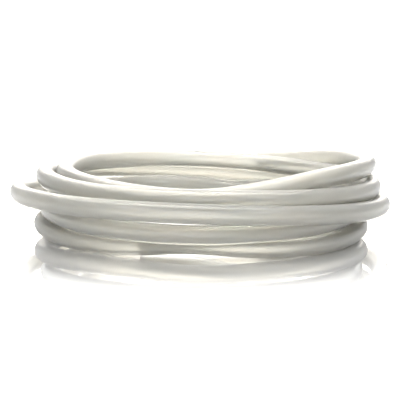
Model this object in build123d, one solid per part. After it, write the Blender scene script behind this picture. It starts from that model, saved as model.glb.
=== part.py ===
from build123d import *
import os
from math import cos, pi, radians, sin, tan

# A loose coil of soft silicone laboratory tubing, lying flat on a surface.
# Millimetres, +Z up. The origin is on the surface, at the middle of the coil.

# Driving dimensions
TUBE_OUTER = 8.0  # outside diameter of the tubing
TUBE_BORE = 5.0  # inside diameter, a press fit over a hose barb
COIL_RADIUS = 68.0  # radius of a middling turn, to the centre of the tube
TURN_GAP = 0.4  # air between one place and the next; at the tightest crossing 0.15 is left
POINTS_PER_TURN = 16  # corners of the route in each turn
MIDDLE = (0.22, -0.08)  # where the turns' centre lies from the middle of their outline

# One place in the stack is a tube's width and the air beside it.
PLACE = TUBE_OUTER + TURN_GAP

# How the tube winds, from its inner end to its outer end. Each row says, at so many
# degrees round, how many places the tube lies outside COIL_RADIUS and how many
# places up it is. 0 degrees is the right side, 90 the back, 180 the left, 270 the front.
WINDING = [
    # the inner end lies on the surface, and the first turn passes inside the second
    (-117.5, -2.12, 0.00), (-95, -2.14, 0.00), (-84, -2.02, 0.36), (-72, -1.88, 0.48),
    (-45, -1.57, 0.36), (0, -1.14, 0.02), (40, -1.48, 0.00), (60, -1.53, 0.00),
    (90, -0.98, 0.00), (135, -0.31, 0.10),
    # the second turn arches off the surface at the front
    (180, -0.01, 0.26), (210, -0.38, 0.07), (236, -0.95, 0.00), (255, -1.11, 0.19),
    (276, -1.07, 0.36), (294, -0.31, 0.01), (315, -0.08, 0.00), (360, -0.04, 0.14),
    (405, -0.45, 0.22), (425, -0.63, 0.52), (450, -0.61, 1.02), (495, -0.60, 1.25),
    # the third lies on it
    (540, -0.44, 1.24), (585, -0.06, 1.07), (630, 0.24, 0.90), (675, 0.02, 1.01),
    (720, -0.31, 1.15), (765, 0.14, 1.10), (810, 0.60, 0.63), (855, 1.35, 1.19),
    # the fourth is the widest, and tips down to the right
    (900, 1.11, 1.85), (945, 1.10, 2.07), (990, 1.07, 2.05), (1035, 1.10, 1.60),
    (1080, 1.07, 1.19), (1125, 1.17, 1.21), (1170, 1.10, 1.60), (1215, 0.60, 2.17),
    # the fifth
    (1260, -0.24, 2.69), (1305, -0.10, 2.57), (1350, 0.18, 2.56), (1395, 0.42, 2.30),
    (1440, 0.61, 2.11), (1485, 0.26, 2.13), (1530, -0.12, 2.42), (1575, -0.68, 2.72),
    # the last crosses over the fifth at the right, and its end drops away at the back
    (1620, -1.26, 2.85), (1665, -1.15, 2.68), (1710, -0.86, 2.38), (1727, -0.79, 2.60),
    (1755, -0.36, 3.14), (1800, 0.38, 3.15), (1825, 0.86, 3.01), (1845, 1.19, 2.71),
    (1870, 1.55, 2.24),
]


def slope(row, column):
    """How fast a column changes at a row, taken from the rows beside it."""
    before = WINDING[max(row - 1, 0)]
    after = WINDING[min(row + 1, len(WINDING) - 1)]
    return (after[column] - before[column]) / (after[0] - before[0])


def winding_at(angle, column):
    """A column's value at an angle, on a smooth curve through the rows."""
    row = max(i for i, r in enumerate(WINDING[:-1]) if r[0] <= angle)
    start, stop = WINDING[row], WINDING[row + 1]
    span = stop[0] - start[0]
    s = (angle - start[0]) / span
    held = (1 + 2 * s) * (1 - s) ** 2 * start[column] + s * s * (3 - 2 * s) * stop[column]
    leaned = s * (1 - s) ** 2 * slope(row, column) + s * s * (s - 1) * slope(row + 1, column)
    return held + span * leaned


def coil_route():
    """The corners of the tube's centre line, worked out turn by turn."""
    first, last = WINDING[0][0], WINDING[-1][0]
    runs = round((last - first) / 360 * POINTS_PER_TURN)
    step = (last - first) / runs
    corners = []
    for i in range(runs + 1):
        angle = first + i * step
        reach = COIL_RADIUS + PLACE * winding_at(angle, 1)
        reach /= cos(radians(step / 2))  # so that each run touches the turn at its middle
        lift = TUBE_OUTER / 2 + PLACE * max(winding_at(angle, 2), 0)
        x = MIDDLE[0] + reach * cos(radians(angle))
        y = MIDDLE[1] + reach * sin(radians(angle))
        corners.append(Vector(x, y, lift))
    return corners


def corner_radii(corners):
    """The largest arc that each corner's two runs allow."""
    radii = []
    for a, b, c in zip(corners, corners[1:], corners[2:]):
        shorter = min((b - a).length, (c - b).length)
        turn = radians((b - a).get_angle(c - b))
        radii.append(0.45 * shorter / tan(turn / 2))
    return radii


def tubing(corners, radii):
    """The tube: its ring-shaped section carried along straight runs and tangent arcs."""
    path = FilletPolyline(*corners, radius=radii)
    start = Plane(origin=corners[0], z_dir=corners[1] - corners[0])
    outside = sweep(start * Circle(TUBE_OUTER / 2), path=path)
    bore = sweep(start * Circle(TUBE_BORE / 2), path=path)
    return outside - bore, path.length


corners = coil_route()
radii = corner_radii(corners)
tube, length = tubing(corners, radii)
section = pi * (TUBE_OUTER**2 - TUBE_BORE**2) / 4
print("bend radii, mm:", " ".join(f"{r:.0f}" for r in radii))
print(f"tubing {length:.0f} mm long, {len(corners)} corners")
print(f"volume {tube.volume:.0f} mm3, section x length {section * length:.0f} mm3")

os.makedirs("parts", exist_ok=True)
export_step(tube, "parts/tubing.step")
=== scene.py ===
# %% [markdown]
# # A loose coil of silicone tubing
# The object is one length of soft laboratory tubing that lies in five and a half turns, with nothing to
# tie them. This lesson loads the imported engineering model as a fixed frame, sets the camera, lays the
# tube's centre line along the same route as the engineering model, skins it with a hollow wall, and
# gives it a milky silicone finish. Everything is in metres, with +Z up, in the same frame as the
# engineering model.

# %% Load the fixed frame
from math import cos, pi, radians, sin

import bmesh
import bpy
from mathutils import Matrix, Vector


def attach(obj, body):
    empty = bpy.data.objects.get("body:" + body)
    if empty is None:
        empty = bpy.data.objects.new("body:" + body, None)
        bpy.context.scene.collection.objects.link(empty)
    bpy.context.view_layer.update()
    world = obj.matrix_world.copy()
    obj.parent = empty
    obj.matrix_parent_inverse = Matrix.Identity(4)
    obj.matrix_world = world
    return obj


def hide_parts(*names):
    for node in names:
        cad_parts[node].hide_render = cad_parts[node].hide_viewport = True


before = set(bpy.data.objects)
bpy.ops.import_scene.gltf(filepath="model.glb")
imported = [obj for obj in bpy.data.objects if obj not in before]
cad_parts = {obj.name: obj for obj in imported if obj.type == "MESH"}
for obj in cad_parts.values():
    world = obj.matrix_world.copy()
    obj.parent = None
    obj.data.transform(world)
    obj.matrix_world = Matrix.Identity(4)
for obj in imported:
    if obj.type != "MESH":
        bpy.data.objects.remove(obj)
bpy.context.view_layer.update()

MM = 0.001

# %% [markdown]
# ## Camera
# A coil that lies flat is seen best from just above the bench, where every turn still shows its own
# height. A long lens from about four coil widths away keeps the near and far turns close to the same
# size. The camera could aim at the coil's middle, but a little below the middle of the stack leaves
# room for what the glossy bench reflects.

# %% Camera
VIEW_RISE = radians(8.5)
VIEW_DISTANCE = 0.70
AIM = Vector((0, 0, 15 * MM))
LENS_MM = 146.8
SENSOR_MM = 36.0

camera = bpy.data.objects.new("camera", bpy.data.cameras.new("camera"))
camera.data.lens = LENS_MM
camera.data.sensor_width = SENSOR_MM
camera.location = AIM + VIEW_DISTANCE * Vector((0, -cos(VIEW_RISE), sin(VIEW_RISE)))
camera.rotation_euler = (pi / 2 - VIEW_RISE, 0, 0)
bpy.context.scene.collection.objects.link(camera)
bpy.context.scene.camera = camera
print("camera at", [round(c, 3) for c in camera.location])

# %% [markdown]
# ## The route of the tubing
# Soft tubing that has been wound by hand keeps roughly round turns, but no two are the same: each has
# its own reach and its own height, and they cross where one slips inside another. A spiral formula
# would look machine-made, and a list of hundreds of points couldn't be changed by hand. So each turn
# has a few rows that say how far out and how far up the tube lies at some angle, and a smooth curve
# through the rows gives the sixteen corners of each turn.

# %% Sizes and windings
TUBE_OUTER = 8.0 * MM
TUBE_BORE = 5.0 * MM
COIL_RADIUS = 68.0 * MM  # of the centre line, where a row says 0 places out
TURN_GAP = 0.4 * MM  # air between one place and the next
POINTS_PER_TURN = 16
MIDDLE = (0.22 * MM, -0.08 * MM)  # puts the middle of the uneven outline at the origin
PLACE = TUBE_OUTER + TURN_GAP

# How the tube winds, from its inner end to its outer end. Each row says, at so many
# degrees round, how many places the tube lies outside COIL_RADIUS and how many
# places up it is. 0 degrees is the right side, 90 the back, 180 the left, 270 the front.
WINDING = [
    # the inner end lies on the surface, and the first turn passes inside the second
    (-117.5, -2.12, 0.00), (-95, -2.14, 0.00), (-84, -2.02, 0.36), (-72, -1.88, 0.48),
    (-45, -1.57, 0.36), (0, -1.14, 0.02), (40, -1.48, 0.00), (60, -1.53, 0.00),
    (90, -0.98, 0.00), (135, -0.31, 0.10),
    # the second turn arches off the surface at the front
    (180, -0.01, 0.26), (210, -0.38, 0.07), (236, -0.95, 0.00), (255, -1.11, 0.19),
    (276, -1.07, 0.36), (294, -0.31, 0.01), (315, -0.08, 0.00), (360, -0.04, 0.14),
    (405, -0.45, 0.22), (425, -0.63, 0.52), (450, -0.61, 1.02), (495, -0.60, 1.25),
    # the third lies on it
    (540, -0.44, 1.24), (585, -0.06, 1.07), (630, 0.24, 0.90), (675, 0.02, 1.01),
    (720, -0.31, 1.15), (765, 0.14, 1.10), (810, 0.60, 0.63), (855, 1.35, 1.19),
    # the fourth is the widest, and tips down to the right
    (900, 1.11, 1.85), (945, 1.10, 2.07), (990, 1.07, 2.05), (1035, 1.10, 1.60),
    (1080, 1.07, 1.19), (1125, 1.17, 1.21), (1170, 1.10, 1.60), (1215, 0.60, 2.17),
    # the fifth
    (1260, -0.24, 2.69), (1305, -0.10, 2.57), (1350, 0.18, 2.56), (1395, 0.42, 2.30),
    (1440, 0.61, 2.11), (1485, 0.26, 2.13), (1530, -0.12, 2.42), (1575, -0.68, 2.72),
    # the last crosses over the fifth at the right, and its end drops away at the back
    (1620, -1.26, 2.85), (1665, -1.15, 2.68), (1710, -0.86, 2.38), (1727, -0.79, 2.60),
    (1755, -0.36, 3.14), (1800, 0.38, 3.15), (1825, 0.86, 3.01), (1845, 1.19, 2.71),
    (1870, 1.55, 2.24),
]

print("windings:", len(WINDING), "rows, one place is", round(PLACE / MM, 2), "mm")

# %% The corners of the route
def slope(row, column):
    """How fast a column changes at a row, taken from the rows beside it."""
    before = WINDING[max(row - 1, 0)]
    after = WINDING[min(row + 1, len(WINDING) - 1)]
    return (after[column] - before[column]) / (after[0] - before[0])


def winding_at(angle, column):
    """A column's value at an angle, on a smooth curve through the rows."""
    row = max(i for i, r in enumerate(WINDING[:-1]) if r[0] <= angle)
    start, stop = WINDING[row], WINDING[row + 1]
    span = stop[0] - start[0]
    s = (angle - start[0]) / span
    held = (1 + 2 * s) * (1 - s) ** 2 * start[column] + s * s * (3 - 2 * s) * stop[column]
    leaned = s * (1 - s) ** 2 * slope(row, column) + s * s * (s - 1) * slope(row + 1, column)
    return held + span * leaned


def coil_route():
    """The corners of the tube's centre line, worked out turn by turn."""
    first, last = WINDING[0][0], WINDING[-1][0]
    runs = round((last - first) / 360 * POINTS_PER_TURN)
    step = (last - first) / runs
    corners = []
    for i in range(runs + 1):
        angle = first + i * step
        reach = COIL_RADIUS + PLACE * winding_at(angle, 1)
        reach /= cos(radians(step / 2))  # so that each run touches the turn at its middle
        lift = TUBE_OUTER / 2 + PLACE * max(winding_at(angle, 2), 0)
        x = MIDDLE[0] + reach * cos(radians(angle))
        y = MIDDLE[1] + reach * sin(radians(angle))
        corners.append(Vector((x, y, lift)))
    return corners


corners = coil_route()
print("route:", len(corners), "corners in", round((WINDING[-1][0] - WINDING[0][0]) / 360, 2), "turns")

# %% [markdown]
# ## The centre line
# The corners become the control points of one smooth spline. The line touches each run at its middle
# and rounds each corner, as a tube does under its own stiffness. A Bezier curve would need two handles
# at each corner for the same.

# %% The centre line
STEPS_PER_CORNER = 8


def centre_line(points):
    """The points of a smooth line that has the route's corners as its control points."""
    curve = bpy.data.curves.new("centre line", "CURVE")
    curve.dimensions = "3D"
    spline = curve.splines.new("NURBS")
    spline.points.add(len(points) - 1)
    for knot, point in zip(spline.points, points):
        knot.co = (*point, 1)
    spline.order_u = 3
    spline.use_endpoint_u = True
    spline.resolution_u = STEPS_PER_CORNER
    holder = bpy.data.objects.new("centre line", curve)
    bpy.context.scene.collection.objects.link(holder)
    bpy.context.view_layer.update()
    traced = bpy.data.meshes.new_from_object(holder)
    line = [v.co.copy() for v in traced.vertices]
    bpy.data.objects.remove(holder)
    bpy.data.curves.remove(curve)
    bpy.data.meshes.remove(traced)
    return line


line = centre_line(corners)
line_length = sum((b - a).length for a, b in zip(line, line[1:]))
print("centre line:", round(line_length, 3), "m in", len(line), "points")

# %% [markdown]
# ## The wall of the tube
# The tube is extruded, so one ring carried along the line gives its outside. The ring turns only as
# much as the line does from one step to the next, so the wall never twists. Solidify then grows the
# wall inwards to the bore and closes both ends with flat faces, as a knife leaves them. A curve with a
# round bevel is quicker, but it has no bore to see.

# %% Carry a ring along the line
SIDES = 40
WALL = (TUBE_OUTER - TUBE_BORE) / 2


def directions(points):
    """The line's direction at each of its points."""
    ahead = points[1:] + points[-1:]
    behind = points[:1] + points[:-1]
    return [(b - a).normalized() for a, b in zip(behind, ahead)]


def outer_wall(points):
    """An open tube round the line, with its place along and around the tube kept at each vertex."""
    bm = bmesh.new()
    lay = bm.verts.layers.float_vector.new("lay")
    ways = directions(points)
    turn = Vector((0, 0, 1)).rotation_difference(ways[0]).to_matrix()
    ring = bmesh.ops.create_circle(bm, segments=SIDES, radius=TUBE_OUTER / 2)["verts"]
    around = [Vector((v.co.x, v.co.y, 0)) for v in ring]
    bmesh.ops.rotate(bm, verts=ring, matrix=turn)
    bmesh.ops.translate(bm, verts=ring, vec=points[0])
    for v, place in zip(ring, around):
        v[lay] = place
    edges = list({e for v in ring for e in v.link_edges})
    along = 0.0
    for i in range(1, len(points)):
        grown = bmesh.ops.extrude_edge_only(bm, edges=edges)["geom"]
        verts = [g for g in grown if isinstance(g, bmesh.types.BMVert)]
        edges = [g for g in grown if isinstance(g, bmesh.types.BMEdge) and len(g.link_faces) == 1]
        step = points[i] - points[i - 1]
        along += step.length
        turn = ways[i - 1].rotation_difference(ways[i]).to_matrix()
        bmesh.ops.rotate(bm, verts=verts, cent=points[i - 1], matrix=turn)
        bmesh.ops.translate(bm, verts=verts, vec=step)
        for v in verts:
            v[lay] = (v[lay].x, v[lay].y, along)
    bmesh.ops.recalc_face_normals(bm, faces=bm.faces)
    return bm


tube_bm = outer_wall(line)
print("outer wall:", len(tube_bm.faces), "faces")

# %% Give it a wall and two cut ends
EDGE_ROUND = 0.2 * MM
FLAT_WITHIN = 0.01 * MM  # how near a point is to the plane of a cut end when it belongs to it


def cut_edges(bm, centre, way):
    """The inner and outer edges of the flat face that closes the tube at one end."""
    flat = [f for f in bm.faces if all(abs((v.co - centre).dot(way)) < FLAT_WITHIN for v in f.verts)]
    inside = set(flat)
    return [e for f in flat for e in f.edges if any(g not in inside for g in e.link_faces)]


bmesh.ops.solidify(tube_bm, geom=tube_bm.faces[:], thickness=WALL)
ends = ((line[0], (line[1] - line[0]).normalized()), (line[-1], (line[-1] - line[-2]).normalized()))
rims = [e for centre, way in ends for e in cut_edges(tube_bm, centre, way)]
print("cut edges:", len(rims), "of", 4 * SIDES)
bmesh.ops.bevel(
    tube_bm, geom=rims, offset=EDGE_ROUND, segments=2, affect="EDGES", profile=0.5, material=-1
)
open_edges = sum(not e.is_manifold for e in tube_bm.edges)
print("hollow tube:", len(tube_bm.faces), "faces, open edges:", open_edges)
print("wall volume, cm3:", round(tube_bm.calc_volume() * 1e6, 2))

# %% The finished piece
mesh = bpy.data.meshes.new("silicone_tubing")
tube_bm.to_mesh(mesh)
tube_bm.free()
mesh.polygons.foreach_set("use_smooth", [True] * len(mesh.polygons))
tubing = bpy.data.objects.new("silicone_tubing", mesh)
bpy.context.scene.collection.objects.link(tubing)

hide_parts("tubing")
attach(tubing, "root")
print("piece:", tubing.name, "with", len(mesh.vertices), "points")

# %% [markdown]
# ## Milky silicone
# Clear silicone rubber is never as clear as glass. The fine silica that strengthens it scatters light,
# so that even a wall of a millimetre and a half looks milky: some of the light that goes in comes out
# beside where it went in, and most passes through, blurred. Turns that lie together share their light,
# so the gaps between them stay soft. Where the eye looks along the wall and not through it, the rubber
# swallows a little more and looks darker.
#
# A plain diffuse colour would look like painted wood. Glass filled with a scattering volume is true to
# the stuff, but slow and noisy. One shader that shares its light between scattering under the surface
# and rough transmission is quick and close, so that is used, with a weak absorption inside the wall for
# the darker edges.

# %% Colours and nodes
def linear(hex_colour):
    """An sRGB colour such as "ffffff" as linear light, with full alpha."""
    parts = [int(hex_colour[i : i + 2], 16) / 255 for i in (0, 2, 4)]
    return (*[c / 12.92 if c <= 0.04045 else ((c + 0.055) / 1.055) ** 2.4 for c in parts], 1)


def add(tree, kind, inputs=(), **settings):
    """Adds a node: settings are its own options, inputs are values or the sockets that feed it."""
    node = tree.nodes.new("ShaderNode" + kind)
    for name, value in settings.items():
        setattr(node, name, value)
    for name, value in dict(inputs).items():
        if isinstance(value, bpy.types.NodeSocket):
            tree.links.new(value, node.inputs[name])
        else:
            node.inputs[name].default_value = value
    return node


def new_material(name):
    """An empty node material and its output node."""
    material = bpy.data.materials.new(name)
    material.use_nodes = True
    material.node_tree.nodes.clear()
    return material, material.node_tree, add(material.node_tree, "OutputMaterial")


print("middle grey as linear light:", round(linear("808080")[0], 3))

# %% Cloudiness and lines along the tube
CLOUD_SIZE = 22 * MM
LINE_SPACING = 1.6 * MM
LINE_STRETCH = 40
LINE_DEPTH = 0.02 * MM


def cloudiness(tree):
    """Slow soft patches, a few tube widths long: the silica is never mixed in quite evenly."""
    place = add(tree, "Attribute", attribute_name="lay").outputs["Vector"]
    return add(tree, "TexNoise", {"Vector": place, "Scale": 1 / CLOUD_SIZE, "Detail": 0}).outputs["Fac"]


def extrusion_lines(tree):
    """Fine lines along the tube, as the die leaves them: noise that is drawn out along the length."""
    place = add(tree, "Attribute", attribute_name="lay").outputs["Vector"]
    drawn = add(tree, "VectorMath", {0: place, 1: (1, 1, 1 / LINE_STRETCH)}, operation="MULTIPLY")
    inputs = {"Vector": drawn.outputs["Vector"], "Scale": 1 / LINE_SPACING, "Detail": 1}
    return add(tree, "TexNoise", inputs).outputs["Fac"]


print("cloudy patches of", CLOUD_SIZE / MM, "mm, lines", LINE_SPACING / MM, "mm apart")

# %% Silicone
WALL_TINT = "cecec9"  # the grey that light takes on inside the wall
WALL_DENSITY = 150.0  # per metre of rubber
SATIN = (0.285, 0.345)  # roughness, from the clearer patches to the cloudier ones


def milky_silicone():
    """Translucent silicone rubber: milky, satin, faintly cloudy, with fine lines along its length."""
    material, tree, out = new_material("milky_silicone")
    cloud = cloudiness(tree)
    # a cool pale grey that warms a little in the cloudy patches, so no stretch of tube is one flat tone;
    # inputs 6 and 7 of a colour Mix are its two colours
    colour = add(tree, "Mix", {"Factor": cloud}, data_type="RGBA")
    colour.inputs[6].default_value = linear("d9dad5")
    colour.inputs[7].default_value = linear("e0ddd7")
    # satin: sharp enough to show a soft lamp as a long smear, and a little less so where it is cloudy
    gloss = add(tree, "MapRange", {"Value": cloud, "To Min": SATIN[0], "To Max": SATIN[1]})
    lines = add(tree, "Bump", {"Height": extrusion_lines(tree), "Strength": 1.0, "Distance": LINE_DEPTH})
    inputs = {
        "Base Color": colour.outputs[2],
        "Roughness": gloss.outputs["Result"],
        "Normal": lines.outputs["Normal"],
        "IOR": 1.41,  # silicone bends light a little less than glass does
        "Transmission Weight": 0.85,  # most light goes on through, so the turns behind still glow
        "Subsurface Weight": 0.75,
        "Subsurface Radius": (1.0, 0.92, 0.80),  # red light spreads furthest, which warms the shadows
        "Subsurface Scale": 6 * MM,
    }
    shader = add(tree, "BsdfPrincipled", inputs)
    wall = add(tree, "VolumeAbsorption", {"Color": linear(WALL_TINT), "Density": WALL_DENSITY})
    tree.links.new(shader.outputs["BSDF"], out.inputs["Surface"])
    tree.links.new(wall.outputs["Volume"], out.inputs["Volume"])
    return material


tubing.data.materials.append(milky_silicone())
print("finish:", tubing.data.materials[0].name)

# %% [markdown]
# ## Bench
# Small goods are often shown on a polished white sheet over a light box; here there is no light box, only
# a painted glow on the sheet. At a low angle the polish mirrors what stands on it, and further out the
# painted glow washes the mirror image away, so that only the foot of the object is doubled. A plain white
# floor would leave the coil floating, and a full mirror would double all of it. A truly emitting sheet
# would light the coil from below. This painted glow lights nothing: only the camera, reflections and rays
# that pass through the rubber see it, and it stops where the turns lie, so their soft shadow stays.

# %% Bench
BENCH_SIZE = 8.0
BENCH_DROP = 0.05 * MM  # keeps the sheet clear of the underside of the tube
MIRROR_SHARE = 0.78
# where the painted glow shows on the sheet, by distance from the coil's middle
GLOW_INSIDE = (46 * MM, 62 * MM)  # full in the coil's open middle, and gone where the turns lie
GLOW_OUTSIDE = (85 * MM, 150 * MM)  # starts again beyond them
GLOW = 1.0

bench_bm = bmesh.new()
bmesh.ops.create_grid(bench_bm, x_segments=1, y_segments=1, size=BENCH_SIZE / 2)
bench_mesh = bpy.data.meshes.new("bench")
bench_bm.to_mesh(bench_mesh)
bench_bm.free()
bench = bpy.data.objects.new("bench", bench_mesh)
bench.location.z = -BENCH_DROP
bpy.context.scene.collection.objects.link(bench)


def seen_rays(tree):
    """1 for rays that show a background: the camera's, and those in reflections and through rubber."""
    rays = add(tree, "LightPath").outputs
    two = add(tree, "Math", {0: rays["Is Camera Ray"], 1: rays["Is Glossy Ray"]}, operation="ADD")
    three = {0: two.outputs[0], 1: rays["Is Transmission Ray"]}
    return add(tree, "Math", three, operation="ADD", use_clamp=True).outputs[0]


def painted_glow(tree):
    """How strongly the painted glow shows on the sheet: not at all where the turns lie, and fully inside
    and outside them.
    """
    place = add(tree, "TexCoord").outputs["Object"]
    reach = add(tree, "VectorMath", {0: place}, operation="LENGTH").outputs["Value"]
    smooth = {"interpolation_type": "SMOOTHSTEP"}
    inner = {"From Min": GLOW_INSIDE[0], "From Max": GLOW_INSIDE[1], "To Min": GLOW, "To Max": 0}
    outer = {"From Min": GLOW_OUTSIDE[0], "From Max": GLOW_OUTSIDE[1], "To Min": 0, "To Max": GLOW}
    falling = add(tree, "MapRange", {"Value": reach, **inner}, **smooth).outputs["Result"]
    rising = add(tree, "MapRange", {"Value": reach, **outer}, **smooth).outputs["Result"]
    both = add(tree, "Math", {0: falling, 1: rising}, operation="ADD").outputs[0]
    return add(tree, "Math", {0: seen_rays(tree), 1: both}, operation="MULTIPLY").outputs[0]


def polished_sheet():
    """A white sheet under a clear polish, with a painted glow away from the coil that lights nothing."""
    material, tree, out = new_material("polished_white_sheet")
    mirror = add(tree, "BsdfGlossy", {"Color": linear("fafafa"), "Roughness": 0.04})
    pale = add(tree, "BsdfDiffuse", {"Color": linear("fafafa")})
    sheet = add(tree, "MixShader", {0: MIRROR_SHARE, 1: pale.outputs["BSDF"], 2: mirror.outputs["BSDF"]})
    # the painted glow: an emission that only the camera, reflections and rays through rubber see
    glow = add(tree, "Emission", {"Color": (1, 1, 1, 1), "Strength": painted_glow(tree)})
    both = add(tree, "AddShader", {0: sheet.outputs["Shader"], 1: glow.outputs["Emission"]})
    tree.links.new(both.outputs["Shader"], out.inputs["Surface"])
    return material


bench.data.materials.append(polished_sheet())
print("bench:", BENCH_SIZE, "m square,", bench.data.materials[0].name)

# %% [markdown]
# ## Light
# Two small soft boxes stand in front, left and right of the camera and well above it, and each leaves a
# long blurred highlight on the outside of the turns. A wide one low in front reaches in under the upper
# turns, one behind grazes the turns and shines through the rubber, and one above lights their tops. The
# world fills the rest evenly, and shows as white behind the coil. One strong lamp would throw hard
# shadows between the turns, and light from all round alone would leave the tubes without any shape.

# %% World
FILL = 0.55

world = bpy.data.worlds.new("white studio")
bpy.context.scene.world = world
world.use_nodes = True
sky = world.node_tree
sky.nodes.clear()
fill = add(sky, "Background", {"Color": linear("eef1f4"), "Strength": FILL})
white = add(sky, "Background", {"Color": (1, 1, 1, 1), "Strength": 1.0})
layers = {0: seen_rays(sky), 1: fill.outputs["Background"], 2: white.outputs["Background"]}
mixed = add(sky, "MixShader", layers)
sky.links.new(mixed.outputs["Shader"], add(sky, "OutputWorld").inputs["Surface"])
print("world fill:", FILL)


# %% Lamps
def soft_box(name, place, size, watts, colour="ffffff"):
    """A square soft lamp that faces the coil."""
    lamp = bpy.data.lights.new(name, "AREA")
    lamp.shape = "SQUARE"
    lamp.size = size
    lamp.energy = watts
    lamp.color = linear(colour)[:3]
    holder = bpy.data.objects.new(name, lamp)
    holder.location = place
    holder.rotation_euler = (AIM - Vector(place)).to_track_quat("-Z", "Y").to_euler()
    bpy.context.scene.collection.objects.link(holder)
    print(name, "soft box:", size, "m wide,", watts, "W")


soft_box("front left", (-0.75, -0.75, 0.95), 0.22, 6)
soft_box("front right", (0.75, -0.75, 0.95), 0.22, 6)
soft_box("low front", (0, -1.7, 0.35), 1.4, 22)
soft_box("back", (0, 1.2, 0.7), 1.2, 18, "fff9f0")
soft_box("top", (0, 0, 1.4), 1.0, 8)

# %% [markdown]
# ## Colour
# The Standard view shows a colour as it is written, where a filmic one would grey the whites.

# %% Plain view settings
bpy.context.scene.view_settings.view_transform = "Standard"
print("view:", bpy.context.scene.view_settings.view_transform)
